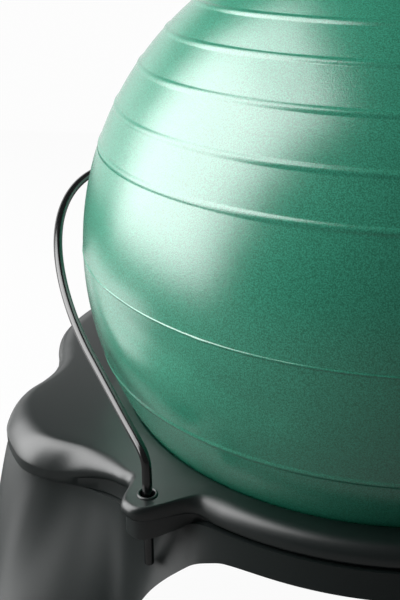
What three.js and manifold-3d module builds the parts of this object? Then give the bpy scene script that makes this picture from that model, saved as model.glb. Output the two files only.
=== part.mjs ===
// Balance ball chair: an inflated exercise ball lying in a moulded seat ring, four flared leg
// mouldings screwed under the ring, twin-wheel casters in the feet, and a steel hoop that stands
// in two ears of the ring and runs round behind the ball.
// Millimetres, +Z up, the front faces -Y, origin on the floor in the middle of the footprint.

import * as THREE from 'three';
import { mergeVertices } from 'three/addons/utils/BufferGeometryUtils.js';
import Module from 'manifold-3d';

const wasm = await Module();
wasm.setup();

// Ball
const ballRadius = 260;
const ballWall = 1.6;
const ribHeight = 1;
const ribHalfWidth = 2.6;
const ribDeckGap = 20;
const seamHeight = 1.2;
const seamHalfWidth = 2.8;
const seamAngle = 1.2;
const ballStepAngle = 7.5;
const ballSegments = 30;

// Angles of the ribs above and below the seam
const ribAngles = [19.6, 27.1, 35.2, 42.7, 49.6, 56.8, 64.2, 71.7];

// Valve plug
const valveRadius = 4.5;
const plugFlangeRadius = 9;
const plugFlangeThickness = 2;
const plugStemLength = 12;

// Clearances
const fitGap = 0.3;
const seatGap = 0.5;
const slidingGap = 0.25;
const overrun = 5;
const weldTolerance = 1e-4;

// Seat ring, with the angles of the dish from straight below the ball
const deckHeight = 194.04;
const dishInnerAngle = 51.9;
const dishOuterAngle = 59.82;
const dishEdgeRound = 2;
const deckWidth = 25.8;
const ringWall = 3.6;
const skirtDepth = 19;
const lipRoll = 6;

// Shoulders of the ring over the legs, per quarter
const shoulderSpread = 84;
const shoulderRoll = 46;

// Each row: azimuth from the front or rear in degrees, reach share from ring to shoulder, share of
// the roll's width, share of the skirt that it drops
const frontShoulderShares = [
  [0, 0, 0.13, 0.32],
  [38, 0, 0.13, 0.32],
  [41.5, 0.04, 0.14, 0.34],
  [44.5, 0.17, 0.22, 0.42],
  [47.5, 0.29, 0.35, 0.5],
  [50, 0.325, 0.43, 0.58],
  [52, 0.355, 0.49, 0.68],
  [53.6, 0.41, 0.57, 0.8],
  [55.8, 0.59, 0.76, 0.93],
  [57.3, 0.77, 0.9, 0.97],
  [59, 0.85, 0.93, 0.97],
  [61, 0.885, 0.88, 0.97],
  [64, 0.92, 0.83, 0.97],
  [67.5, 0.965, 0.85, 0.97],
  [71.5, 1, 0.85, 0.97],
  [75, 0.97, 0.75, 0.97],
  [78.5, 0.88, 0.62, 0.97],
  [82, 0.73, 0.5, 0.95],
  [86, 0.625, 0.42, 0.92],
  [90, 0.6, 0.4, 0.9],
];
const rearShoulderShares = [
  [0, 0, 0.13, 0.32],
  [44, 0, 0.13, 0.32],
  [49, 0.08, 0.2, 0.42],
  [52.5, 0.24, 0.34, 0.7],
  [55, 0.47, 0.7, 0.93],
  [57, 0.73, 0.93, 0.97],
  [59, 0.88, 0.97, 0.97],
  [61.5, 0.955, 0.9, 0.97],
  [65, 0.98, 0.8, 0.97],
  [69, 0.96, 0.7, 0.97],
  [73, 0.92, 0.6, 0.97],
  [77, 0.87, 0.52, 0.97],
  [82.5, 0.74, 0.44, 0.95],
  [86, 0.65, 0.41, 0.92],
  [90, 0.6, 0.4, 0.9],
];

// Each row: azimuth from the rear, share of the deeper skirt that the shoulders have
const rearSkirtShares = [
  [0, 0],
  [30, 0],
  [42, 1],
  [90, 1],
];

// Ears that hold the hoop
const earAngle = 40.2;
const earStandoff = 21.4;
const earRadius = 21;
const earDepth = 30;
const earHalfAngle = 4.4;
const earSkirtHalfAngle = 6.2;
const mouthRadius = 5.6;
const mouthDepth = 8;
const beadRadius = 8;
const beadHeight = 1.4;

// Leg mouldings, one per quarter
const footHeight = 70;
const apronDepth = 22;
const frameWall = 3.4;
const roofHeight = 3.4;
const railInset = 15;
const legSpread = 116;
const ribThickness = 2.4;

// Each row: azimuth of the top edge, then azimuth, reach share, drop share of the bottom edge, the
// inner reach share of the bottom face, and how steeply the outer face leaves its top edge
const legShares = [
  [0, 0, 0.035, 0, 0.06, 1.33],
  [20, 20, 0.035, 0, 0.06, 1.33],
  [27, 27, 0.05, 0.01, 0.06, 1.33],
  [30, 30, 0.07, 0.06, 0.07, 1.33],
  [33, 32.3, 0.09, 0.12, 0.09, 1.33],
  [36, 34.2, 0.11, 0.21, 0.11, 1.33],
  [39, 37, 0.165, 0.37, 0.15, 1.33],
  [42, 39.2, 0.225, 0.54, 0.2, 1.33],
  [45, 40.6, 0.3, 0.73, 0.27, 1.33],
  [48, 41.6, 0.39, 0.91, 0.35, 1.33],
  [50.5, 43.2, 0.475, 1, 0.38, 1.33],
  [53.5, 47.5, 0.7, 1, 0.3, 1.4],
  [56, 51, 0.905, 1, 0.2, 1.5],
  [59, 54.5, 1, 1, 0.18, 1.5],
  [63, 58.5, 1, 1, 0.24, 1.2],
  [68, 63.5, 0.97, 1, 0.45, 0.9],
  [72, 67.5, 0.93, 0.97, 0.58, 0.85],
  [75, 70.5, 0.86, 0.86, 0.57, 0.85],
  [78, 74, 0.76, 0.65, 0.52, 0.9],
  [81, 78, 0.66, 0.41, 0.46, 1],
  [84, 82, 0.57, 0.22, 0.4, 1],
  [87, 86, 0.51, 0.1, 0.36, 1],
  [90, 90, 0.49, 0.06, 0.34, 1],
];

// Each row: azimuth of the top edge, inset of the leg under the ring as a share of the recess
const faceRecess = 6;
const recessShares = [
  [0, -0.16],
  [44, -0.16],
  [48, 0.3],
  [52, 0.75],
  [55.5, 1],
  [61, 1],
  [66, 0.5],
  [71, 0.08],
  [90, 0.08],
];

// Screws that hold the ring to the legs
const screwAngles = [24, 76];
const screwReachShares = [-0.1, 0.42];
const screwRadius = 2;
const screwHeadRadius = 4;
const screwHeadHeight = 2.6;
const screwLength = 18;
const postRadius = 5.5;

// Casters
const casterAngle = 54.246;
const casterInset = 58.942;
const stemRadius = 5.5;
const stemLength = 34;
const sleeveWall = 3;
const sleeveFlangeRadius = 15;
const sleeveFlangeThickness = 2.5;
const socketWall = 3.5;
const wheelRadius = 25;
const wheelWidth = 16;
const wheelGapHalf = 6;
const trail = 17;
const treadRound = 3;
const hubRadius = 8;
const wheelDish = 3;
const axleRadius = 3;
const hoodThickness = 2.4;
const hoodClearance = 1.2;
const neckRadius = 12;
const leverLength = 18;
const leverWidth = 30;
const leverThickness = 3;
const leverBarrelRadius = 2.5;
const leverLiftAngle = 24;

// Hoop
const hoopRodRadius = 3.75;
const hoopFootDrop = 64;
const hoopUpright = 5;
const hoopKneeAcross = 23.9;
const hoopKneeBack = 29.5;
const hoopKneeRise = 51.1;
const hoopHeadingAngle = 38.6;
const hoopSlopeAngle = 27.2;
const hoopLegLength = 54.4;
const hoopLowPull = 33.4;
const hoopKneePull = 44.6;
const hoopLegPull = 74;
const hoopRearPull = 101;
const hoopStandoff = 30;
const hoopRearRise = 28.2;
const hoopRearAngle = 18.6;
const hoopSteps = 96;
const hoopHalfSides = 4;

// Facet counts
const boreSegments = 12;
const wheelSegments = 16;
const screwSegments = 6;
const rollSteps = 3;
const bowSteps = 3;

const radians = THREE.MathUtils.degToRad;

// Worked out from the sizes above
const dishRadius = ballRadius + seatGap;
const dishInnerRadius = dishRadius * Math.sin(radians(dishInnerAngle));
const dishOuterRadius = dishRadius * Math.sin(radians(dishOuterAngle));
const deckTop = deckHeight;
const ballCentreHeight = deckTop + dishRadius * Math.cos(radians(dishOuterAngle));
const ringRadius = dishOuterRadius + deckWidth;
const shoulderReach = ringRadius + shoulderSpread;
const earBoreReach = ringRadius + earStandoff;
const railInnerRadius = ringRadius - railInset;
const legReach = ringRadius + legSpread;
const casterX = (legReach - casterInset) * Math.sin(radians(casterAngle));
const casterY = (legReach - casterInset) * Math.cos(radians(casterAngle));
const skirtBottom = deckTop - skirtDepth;
const apronBottom = skirtBottom - fitGap - apronDepth;
const footDrop = apronBottom - footHeight;

// Materials
const pearlGreen = new THREE.MeshStandardMaterial({ color: 0x57b997, roughness: 0.35, metalness: 0.05 });
const blackPlastic = new THREE.MeshStandardMaterial({ color: 0x2c3130, roughness: 0.45, metalness: 0 });
const lacquer = new THREE.MeshStandardMaterial({ color: 0x0c0d0d, roughness: 0.15, metalness: 0 });
const zincSteel = new THREE.MeshStandardMaterial({ color: 0x9a9d9c, roughness: 0.35, metalness: 1 });
const casterPlastic = new THREE.MeshStandardMaterial({ color: 0x191b1c, roughness: 0.5, metalness: 0 });
const plugPlastic = new THREE.MeshStandardMaterial({ color: 0xdfe5e0, roughness: 0.5, metalness: 0 });

// Point at an azimuth from the front towards the left, a reach and a height
function polar(azimuth, reach, height) {
  const turn = radians(azimuth);
  return new THREE.Vector3(-Math.sin(turn) * reach, -Math.cos(turn) * reach, height);
}

// Smooth curve through the rows of a table, level at both ends
function readTable(rows, at, column) {
  const last = rows.length - 1;
  if (at <= rows[0][0]) return rows[0][column];
  if (at >= rows[last][0]) return rows[last][column];
  let k = 0;
  while (rows[k + 1][0] < at) k += 1;
  const slope = (n) => {
    if (n <= 0 || n >= last) return 0;
    return (rows[n + 1][column] - rows[n - 1][column]) / (rows[n + 1][0] - rows[n - 1][0]);
  };
  const span = rows[k + 1][0] - rows[k][0];
  const t = (at - rows[k][0]) / span;
  const from = rows[k][column];
  const to = rows[k + 1][column];
  const blend = t * t * (3 - 2 * t);
  const startBend = t * (1 - t) * (1 - t) * span * slope(k);
  const endBend = t * t * (1 - t) * span * slope(k + 1);
  return from + (to - from) * blend + startBend - endBend;
}

// Welds a geometry into closed triangles without slivers, faces outwards
function weld(source) {
  const bare = source.clone();
  bare.deleteAttribute('normal');
  bare.deleteAttribute('uv');
  const merged = mergeVertices(bare, weldTolerance);
  const kept = [];
  let volume = 0;
  const corner = [new THREE.Vector3(), new THREE.Vector3(), new THREE.Vector3()];
  for (let i = 0; i < merged.index.count; i += 3) {
    const trio = [0, 1, 2].map((j) => merged.index.getX(i + j));
    if (trio[0] === trio[1] || trio[1] === trio[2] || trio[0] === trio[2]) continue;
    trio.forEach((v, j) => corner[j].fromBufferAttribute(merged.attributes.position, v));
    volume += corner[0].dot(corner[1].clone().cross(corner[2]));
    kept.push(...trio);
  }
  if (volume < 0) kept.reverse();
  merged.setIndex(kept);
  return merged;
}

// Closed geometry to a solid that can be joined and cut
function solid(source) {
  const welded = weld(source);
  return new wasm.Manifold(new wasm.Mesh({
    numProp: 3,
    vertProperties: new Float32Array(welded.attributes.position.array),
    triVerts: new Uint32Array(welded.index.array),
  }));
}

// Solid back to a geometry
function geometryOf(body) {
  const mesh = body.getMesh();
  const geometry = new THREE.BufferGeometry();
  geometry.setAttribute('position', new THREE.BufferAttribute(new Float32Array(mesh.vertProperties), 3));
  geometry.setIndex(Array.from(mesh.triVerts));
  return geometry;
}

// Flat end face over a loop, with the loop's own winding
function capFaces(loop) {
  const normal = new THREE.Vector3();
  loop.forEach((p, i) => {
    const q = loop[(i + 1) % loop.length];
    normal.add(p.clone().cross(q));
  });
  normal.normalize();
  const across = loop[1].clone().sub(loop[0]).normalize();
  const up = normal.clone().cross(across);
  const flat = loop.map((p) => new THREE.Vector2(p.dot(across), p.dot(up)));
  return THREE.ShapeUtils.triangulateShape(flat, []).map(([a, b, c]) => {
    const turn = flat[b].clone().sub(flat[a]).cross(flat[c].clone().sub(flat[a]));
    return turn > 0 ? [a, b, c] : [a, c, b];
  });
}

// Skin over a row of equal loops, joined round or closed by flat ends
function loft(loops, joined) {
  const count = loops[0].length;
  const faces = [];
  const rows = joined ? loops.length : loops.length - 1;
  for (let i = 0; i < rows; i += 1) {
    const here = i * count;
    const next = ((i + 1) % loops.length) * count;
    for (let j = 0; j < count; j += 1) {
      const k = (j + 1) % count;
      faces.push(here + j, next + j, next + k, here + j, next + k, here + k);
    }
  }
  if (!joined) {
    const end = (loops.length - 1) * count;
    capFaces(loops[0]).forEach(([a, b, c]) => faces.push(a, b, c));
    capFaces(loops[loops.length - 1]).forEach(([a, b, c]) => faces.push(end + a, end + c, end + b));
  }
  const geometry = new THREE.BufferGeometry().setFromPoints(loops.flat());
  geometry.setIndex(faces);
  return geometry;
}

// Turned piece about the vertical axis, from [radius, height] pairs
function turned(profile, segments) {
  const points = profile.map(([r, z]) => new THREE.Vector2(r, z));
  return new THREE.LatheGeometry(points, segments).rotateX(Math.PI / 2);
}

// Upright round bar between two heights
function bar(radius, low, high, x, y, segments = boreSegments) {
  const geometry = new THREE.CylinderGeometry(radius, radius, high - low, segments);
  return geometry.rotateX(Math.PI / 2).translate(x, y, (low + high) / 2);
}

// Block between two corners
function block(low, high) {
  const size = high.clone().sub(low);
  const middle = low.clone().add(high).multiplyScalar(0.5);
  return new THREE.BoxGeometry(size.x, size.y, size.z).translate(middle.x, middle.y, middle.z);
}

const chair = new THREE.Group();

// Adds a named piece
function addPiece(name, geometry, material, parent = chair) {
  const welded = weld(geometry);
  welded.computeVertexNormals();
  const mesh = new THREE.Mesh(welded, material);
  mesh.name = name;
  parent.add(mesh);
  return mesh;
}

// Ball: thin shell with moulded ribs round it and a valve hole underneath
function ballGeometry() {
  const ribs = [[seamAngle, seamHalfWidth, seamHeight]];
  ribAngles.forEach((angle) => {
    ribs.push([seamAngle + angle, ribHalfWidth, ribHeight]);
    const below = radians(angle - seamAngle);
    const seated = Math.sin(below) * ballRadius > ballCentreHeight - deckTop - ribDeckGap
      && Math.cos(below) * ballRadius > dishInnerRadius - ribHalfWidth;
    if (!seated) ribs.push([seamAngle - angle, ribHalfWidth, ribHeight]);
  });
  ribs.sort((a, b) => b[0] - a[0]);
  const outer = [[0, ballRadius]];
  let previous = 90;
  const onSphere = (latitude, radius) => [
    Math.cos(radians(latitude)) * radius,
    Math.sin(radians(latitude)) * radius,
  ];
  const valveLatitude = THREE.MathUtils.radToDeg(Math.acos(valveRadius / ballRadius));
  [...ribs, [-valveLatitude, 0, 0]].forEach(([latitude, halfWidth, height]) => {
    const half = THREE.MathUtils.radToDeg(halfWidth / ballRadius);
    const gap = previous - (latitude + half);
    const fills = Math.floor(gap / ballStepAngle);
    for (let k = 1; k <= fills; k += 1) {
      outer.push(onSphere(previous - (gap * k) / (fills + 1), ballRadius));
    }
    if (height > 0) {
      outer.push(onSphere(latitude + half, ballRadius));
      outer.push(onSphere(latitude, ballRadius + height));
      outer.push(onSphere(latitude - half, ballRadius));
    } else {
      outer.push(onSphere(latitude, ballRadius));
    }
    previous = latitude - half;
  });
  const inner = [];
  const innerRadius = ballRadius - ballWall;
  const innerRows = Math.round(60 / ballStepAngle);
  for (let k = 1; k < innerRows; k += 1) {
    inner.push(onSphere(-valveLatitude + ((90 + valveLatitude) * k) / innerRows, innerRadius));
  }
  const profile = [...outer, [valveRadius, -Math.sqrt(innerRadius ** 2 - valveRadius ** 2)],
    ...inner, [0, innerRadius]];
  return turned(profile, ballSegments).translate(0, 0, ballCentreHeight);
}
addPiece('ball', ballGeometry(), pearlGreen);

// Valve plug: a flanged stopper pushed into the hole
const ballBottom = ballCentreHeight - ballRadius;
addPiece('valve_plug', turned([
  [0, ballBottom - plugFlangeThickness],
  [plugFlangeRadius - plugFlangeThickness / 2, ballBottom - plugFlangeThickness],
  [plugFlangeRadius, ballBottom - fitGap - plugFlangeThickness / 2],
  [plugFlangeRadius, ballBottom - fitGap],
  [valveRadius - slidingGap, ballBottom - fitGap],
  [valveRadius - slidingGap, ballBottom + plugStemLength - stemRadius / 2],
  [valveRadius - slidingGap * 6, ballBottom + plugStemLength],
  [0, ballBottom + plugStemLength],
], boreSegments), plugPlastic);

// Azimuth rows of one quarter, closer together round the ear and the shoulder's corner
function azimuthRows(stretches) {
  const rows = [0];
  stretches.forEach(([from, to, steps]) => {
    for (let k = 1; k <= steps; k += 1) rows.push(from + ((to - from) * k) / steps);
  });
  return rows;
}
const frontRows = azimuthRows([[0, 33.2, 5], [33.2, 47.2, 8], [47.2, 62, 7], [62, 90, 5]]);
const rearRows = azimuthRows([[0, 48, 8], [48, 62, 7], [62, 90, 5]]);

// Azimuth folded into the quarter between front and side
function foldAzimuth(azimuth) {
  const half = ((azimuth % 180) + 180) % 180;
  return half > 90 ? 180 - half : half;
}

// How far the ear stands out at an azimuth, from 0 to 1
function earShare(azimuth, front) {
  return front ? Math.exp(-((Math.abs(azimuth - earAngle) / earHalfAngle) ** 3)) : 0;
}

// Row of the shoulder's table at an azimuth
function shoulderShare(azimuth, front, column) {
  return readTable(front ? frontShoulderShares : rearShoulderShares, azimuth, column);
}

// Plan reach of the ring's edge without its ears
function edgeReach(azimuth, front) {
  return ringRadius + (shoulderReach - ringRadius) * shoulderShare(azimuth, front, 1);
}

// Bottom of the skirt, which is deeper under the ears and the shoulders
function skirtHeight(azimuth, front) {
  let share = readTable(rearSkirtShares, azimuth, 1);
  if (front) {
    const offset = Math.max(earAngle - azimuth, 0) / earSkirtHalfAngle;
    share = Math.exp(-(offset ** 3));
  }
  return skirtBottom - (earDepth - skirtDepth) * share;
}

// Section of the seat ring at an azimuth, as [reach, height] pairs
function ringSection(azimuth, front) {
  const innerEdge = edgeReach(azimuth, front);
  const edge = innerEdge + (earBoreReach + earRadius - innerEdge) * earShare(azimuth, front);
  const roll = shoulderRoll * shoulderShare(azimuth, front, 2);
  const drop = skirtDepth * shoulderShare(azimuth, front, 3);
  const innerRoll = Math.max(roll, ringWall + lipRoll / 2);
  const innerDrop = Math.max(drop, ringWall + lipRoll / 2);
  const bottom = skirtHeight(azimuth, front);
  const dish = (reach, radius) => ballCentreHeight - Math.sqrt(radius ** 2 - reach ** 2);
  const underRadius = dishRadius + ringWall;
  const midReach = (dishInnerRadius + dishOuterRadius) / 2;
  const ceiling = deckTop - ringWall;
  const section = [
    [dishInnerRadius, dish(dishInnerRadius, dishRadius)],
    [midReach, dish(midReach, dishRadius)],
    [dishOuterRadius - dishEdgeRound / 2, dish(dishOuterRadius - dishEdgeRound / 2, dishRadius)],
    [dishOuterRadius + dishEdgeRound, deckTop],
  ];
  for (let k = 0; k <= rollSteps; k += 1) {
    const turn = (Math.PI / 2) * (k / rollSteps);
    section.push([edge - roll + roll * Math.sin(turn), deckTop - drop * (1 - Math.cos(turn))]);
  }
  section.push([edge, bottom]);
  section.push([innerEdge - ringWall, bottom]);
  for (let k = rollSteps - 1; k >= 0; k -= 1) {
    const turn = (Math.PI / 2) * (k / (rollSteps - 1));
    section.push([
      innerEdge - innerRoll + (innerRoll - ringWall) * Math.sin(turn),
      ceiling - (innerDrop - ringWall) * (1 - Math.cos(turn)),
    ]);
  }
  section.push([Math.sqrt(underRadius ** 2 - (ballCentreHeight - ceiling) ** 2), ceiling]);
  section.push([midReach, dish(midReach, underRadius)]);
  section.push([dishInnerRadius, dish(dishInnerRadius, underRadius)]);
  return section;
}

// Screw places of a quarter, on top of the leg's roof
function screwPlaces(front) {
  return screwAngles.map((azimuth, k) => {
    const reach = ringRadius + (shoulderReach - ringRadius) * screwReachShares[k];
    return polar(azimuth, reach, skirtHeight(azimuth, front) - fitGap);
  });
}
const quarters = [
  ['front_left', 1, 1],
  ['front_right', -1, 1],
  ['rear_left', 1, -1],
  ['rear_right', -1, -1],
];

// Seat ring: dish, deck, shoulders and skirt in one moulding, with ears, beads and screw posts
function seatRing() {
  const azimuths = [];
  for (let side = 0; side < 4; side += 1) {
    const quarter = side === 0 || side === 3 ? frontRows : rearRows;
    const rows = side % 2 === 0 ? quarter : quarter.map((a) => 90 - a).reverse();
    rows.slice(0, -1).forEach((a) => azimuths.push(side * 90 + a));
  }
  const loops = azimuths.map((azimuth) => {
    const front = azimuth < 90 || azimuth > 270;
    const folded = foldAzimuth(azimuth);
    return ringSection(folded, front).map(([reach, height]) => polar(azimuth, reach, height));
  });
  let ring = solid(loft(loops, true));
  quarters.forEach(([, sx, sy]) => {
    screwPlaces(sy > 0).forEach((place) => {
      const post = bar(postRadius, place.z + fitGap, deckTop - ringWall / 2, place.x * sx, place.y * sy,
        screwSegments + 2);
      ring = ring.add(solid(post));
      const pilotTop = place.z + fitGap - roofHeight + screwLength;
      const pilot = bar(screwRadius + slidingGap / 2, place.z - overrun, pilotTop,
        place.x * sx, place.y * sy, screwSegments);
      ring = ring.subtract(solid(pilot));
    });
  });
  [1, -1].forEach((sx) => {
    const ear = polar(earAngle, earBoreReach, deckTop);
    const bead = turned([
      [mouthRadius - ringWall / 2, -ringWall],
      [mouthRadius - ringWall / 2, beadHeight / 2],
      [mouthRadius + beadHeight / 2, beadHeight],
      [beadRadius - beadHeight, beadHeight],
      [beadRadius, 0],
      [beadRadius, -ringWall],
      [mouthRadius - ringWall / 2, -ringWall],
    ], wheelSegments).translate(ear.x * sx, ear.y, deckTop);
    const mouth = bar(mouthRadius, deckTop - mouthDepth, deckTop + overrun, ear.x * sx, ear.y,
      wheelSegments);
    const bore = bar(hoopRodRadius + slidingGap, deckTop - earDepth - overrun, deckTop + overrun,
      ear.x * sx, ear.y);
    ring = ring.add(solid(bead)).subtract(solid(mouth)).subtract(solid(bore));
  });
  return geometryOf(ring);
}
addPiece('seat_ring', seatRing(), blackPlastic);

// Moves each point of a plan curve inwards, square to the curve
function insetPlan(points, distanceAt) {
  return points.map((point, i) => {
    const before = points[Math.max(i - 1, 0)];
    const after = points[Math.min(i + 1, points.length - 1)];
    const along = after.clone().sub(before);
    if (i === 0) along.set(-1, 0, 0);
    if (i === points.length - 1) along.set(0, 1, 0);
    along.setZ(0).normalize();
    const inward = new THREE.Vector3(along.y, -along.x, 0);
    if (inward.dot(point) > 0) inward.negate();
    return point.clone().addScaledVector(inward, distanceAt(i));
  });
}

// Leg moulding's four edges in the front left quarter: outer top, outer bottom, inner bottom, inner top
function legEdges(front) {
  const reachAt = (share) => ringRadius + (legReach - ringRadius) * share;
  const topHeight = (azimuth) => skirtHeight(azimuth, front) - fitGap;
  const rows = front ? frontRows : rearRows;
  const under = rows.map((azimuth) => polar(azimuth, edgeReach(azimuth, front), topHeight(azimuth)));
  const outerTop = insetPlan(under, (i) => faceRecess * readTable(recessShares, rows[i], 1));
  const outerBottom = rows.map((azimuth) => polar(
    readTable(legShares, azimuth, 1),
    reachAt(readTable(legShares, azimuth, 2)),
    apronBottom - footDrop * THREE.MathUtils.clamp(readTable(legShares, azimuth, 3), 0, 1),
  ));
  const innerBottom = rows.map((azimuth, i) => {
    const reach = railInnerRadius + (legReach - ringRadius) * readTable(legShares, azimuth, 4);
    return polar(readTable(legShares, azimuth, 1), reach, outerBottom[i].z);
  });
  const innerTop = rows.map((azimuth) => polar(azimuth, railInnerRadius, topHeight(azimuth)));
  return [outerTop, outerBottom, innerBottom, innerTop];
}

// Point moved towards the chair's axis
function towardsAxis(point, distance) {
  const reach = Math.hypot(point.x, point.y);
  return new THREE.Vector3(
    point.x * (1 - distance / reach),
    point.y * (1 - distance / reach),
    point.z,
  );
}

// Solid between the four edges with its outer face bowed by its own share of the table. With a wall it is the hollow: a wall
// and a roof thinner, and open below and towards the chair's axis
function legBody(front, wall) {
  const [outerTop, outerBottom, innerBottom, innerTop] = legEdges(front);
  const past = wall > 0 ? overrun : 0;
  const ot = insetPlan(outerTop, () => wall);
  const ob = insetPlan(outerBottom, () => wall);
  const ib = innerBottom.map((point) => towardsAxis(point, past));
  const it = innerTop.map((point) => towardsAxis(point, past));
  const drop = past;
  const roof = wall > 0 ? roofHeight : 0;
  const rows = front ? frontRows : rearRows;
  const loops = [];
  for (let i = 0; i < ot.length; i += 1) {
    const loop = [];
    for (let k = 0; k <= bowSteps; k += 1) {
      const t = k / bowSteps;
      const point = ot[i].clone().lerp(ob[i], t ** readTable(legShares, rows[i], 5));
      point.z = ot[i].z - roof + (ob[i].z - drop - ot[i].z + roof) * t;
      loop.push(point);
    }
    for (let k = 0; k <= 1; k += 1) {
      const point = (k === 0 ? ib[i] : it[i]).clone();
      point.z -= k === 0 ? drop : roof;
      loop.push(point);
    }
    loops.push(loop);
  }
  return loft(loops, false);
}

// Leg moulding: walls, roof, ribs, caster socket and screw holes
function legMoulding(sx, sy) {
  const front = sy > 0;
  let core = solid(legBody(front, frameWall));
  const footBottom = apronBottom - footDrop;
  const roofUnder = skirtBottom - fitGap - roofHeight;
  const socketRadius = stemRadius + slidingGap + sleeveWall + socketWall;
  const ribLow = footBottom - overrun;
  const ribAcross = new THREE.Vector3(-casterX - legReach / 2, -casterY - ribThickness / 2, ribLow);
  const ribAcrossEnd = new THREE.Vector3(-casterX + legReach / 2, -casterY + ribThickness / 2, roofUnder + overrun);
  const ribAlong = new THREE.Vector3(-casterX - ribThickness / 2, -casterY - legReach / 2, ribLow);
  const ribAlongEnd = new THREE.Vector3(-casterX + ribThickness / 2, -casterY + legReach / 2, roofUnder + overrun);
  core = core.subtract(solid(block(ribAcross, ribAcrossEnd)));
  core = core.subtract(solid(block(ribAlong, ribAlongEnd)));
  core = core.subtract(solid(bar(socketRadius, footBottom - overrun * 2, roofUnder + overrun,
    -casterX, -casterY, boreSegments)));
  let leg = solid(legBody(front, 0)).subtract(core);
  leg = leg.subtract(solid(bar(stemRadius + slidingGap + sleeveWall + fitGap, footBottom - overrun,
    footBottom + stemLength + fitGap * 2, -casterX, -casterY)));
  screwPlaces(front).forEach((place) => {
    leg = leg.subtract(solid(bar(screwRadius + slidingGap, place.z - roofHeight - overrun,
      place.z + overrun, place.x, place.y, screwSegments)));
    leg = leg.subtract(solid(bar(screwHeadRadius + fitGap, footBottom - overrun,
      place.z - roofHeight, place.x, place.y, screwSegments)));
  });
  const keep = block(
    new THREE.Vector3(-legReach * 2, -legReach * 2, 0),
    new THREE.Vector3(-fitGap / 2, -fitGap / 2, ballCentreHeight),
  );
  leg = leg.intersect(solid(keep));
  return geometryOf(leg).scale(sx, sy, 1);
}

// Screw: pan head below the leg's roof, shank up into the ring's post
function screwGeometry(place, sx, sy) {
  const seat = place.z - roofHeight - fitGap;
  return turned([
    [0, seat - screwHeadHeight],
    [screwHeadRadius * 0.7, seat - screwHeadHeight],
    [screwHeadRadius, seat - screwHeadHeight / 2],
    [screwHeadRadius, seat],
    [screwRadius, seat],
    [screwRadius, seat + screwLength - screwRadius],
    [0, seat + screwLength],
  ], screwSegments).translate(place.x * sx, place.y * sy, 0);
}

// Sleeve pressed into the leg's socket
function sleeveGeometry() {
  const inner = stemRadius + slidingGap;
  const outer = inner + sleeveWall;
  return turned([
    [inner, footHeight - sleeveFlangeThickness - fitGap],
    [sleeveFlangeRadius - sleeveFlangeThickness / 4, footHeight - sleeveFlangeThickness - fitGap],
    [sleeveFlangeRadius, footHeight - fitGap - sleeveFlangeThickness / 2],
    [sleeveFlangeRadius, footHeight - fitGap],
    [outer, footHeight - fitGap],
    [outer, footHeight + stemLength],
    [inner, footHeight + stemLength],
    [inner, footHeight - sleeveFlangeThickness - fitGap],
  ], boreSegments);
}

// Caster pieces about the stem's axis at x = y = 0, wheels trailing towards -Y
const hoodTop = footHeight - sleeveFlangeThickness - fitGap * 2;
const hoodRadius = wheelRadius + hoodClearance + hoodThickness;
const hoodHalfWidth = wheelGapHalf + wheelWidth;
const leverOrbit = wheelRadius + hoodClearance + leverBarrelRadius;
const leverAxis = new THREE.Vector3(
  0,
  -trail - leverOrbit * Math.cos(radians(leverLiftAngle)),
  wheelRadius + leverOrbit * Math.sin(radians(leverLiftAngle)),
);
function turnedAcross(profile, segments) {
  return turned(profile, segments).rotateY(Math.PI / 2).translate(0, -trail, wheelRadius);
}

// Hood: half-round cover with a middle web and a neck for the stem
function hoodGeometry(lever) {
  let hood = solid(turnedAcross([
    [0, -hoodHalfWidth],
    [hoodRadius - hoodThickness / 2, -hoodHalfWidth],
    [hoodRadius, -hoodHalfWidth + hoodThickness],
    [hoodRadius, hoodHalfWidth - hoodThickness],
    [hoodRadius - hoodThickness / 2, hoodHalfWidth],
    [0, hoodHalfWidth],
  ], wheelSegments));
  hood = hood.add(solid(bar(neckRadius, wheelRadius, hoodTop, 0, 0)));
  const below = new THREE.Vector3(-hoodRadius * 2, -trail - hoodRadius * 2, -overrun);
  const belowEnd = new THREE.Vector3(hoodRadius * 2, hoodRadius * 2, wheelRadius - axleRadius * 2);
  hood = hood.subtract(solid(block(below, belowEnd)));
  const webHalf = wheelGapHalf - hoodClearance;
  [1, -1].forEach((side) => {
    const cavity = turnedAcross([
      [0, webHalf * side],
      [hoodRadius - hoodThickness, webHalf * side],
      [hoodRadius - hoodThickness, (hoodHalfWidth + overrun) * side],
      [0, (hoodHalfWidth + overrun) * side],
    ], wheelSegments);
    hood = hood.subtract(solid(cavity));
  });
  hood = hood.subtract(solid(turnedAcross([
    [0, -hoodRadius],
    [axleRadius + slidingGap, -hoodRadius],
    [axleRadius + slidingGap, hoodRadius],
    [0, hoodRadius],
  ], boreSegments)));
  hood = hood.subtract(solid(bar(stemRadius + fitGap, wheelRadius + hoodRadius / 2, hoodTop + overrun, 0, 0)));
  if (lever) {
    const slot = leverBarrelRadius + hoodClearance;
    const side = leverWidth / 2 + fitGap;
    const low = new THREE.Vector3(-side, leverAxis.y - slot - overrun, leverAxis.z - slot);
    const high = new THREE.Vector3(side, leverAxis.y + slot, leverAxis.z + slot * 2);
    hood = hood.subtract(solid(block(low, high)));
  }
  return geometryOf(hood);
}

// Wheel: tyre with a rounded tread and a dished outer face
function wheelGeometry(side) {
  const inside = wheelGapHalf;
  const outside = wheelGapHalf + wheelWidth;
  return turnedAcross([
    [axleRadius + slidingGap, inside * side],
    [wheelRadius - treadRound, inside * side],
    [wheelRadius, (inside + treadRound) * side],
    [wheelRadius, (outside - treadRound) * side],
    [wheelRadius - treadRound * 2, outside * side],
    [wheelRadius - treadRound * 3, (outside - wheelDish) * side],
    [hubRadius, (outside - wheelDish) * side],
    [hubRadius - treadRound / 2, outside * side],
    [axleRadius + slidingGap, outside * side],
    [axleRadius + slidingGap, inside * side],
  ], wheelSegments);
}

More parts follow.
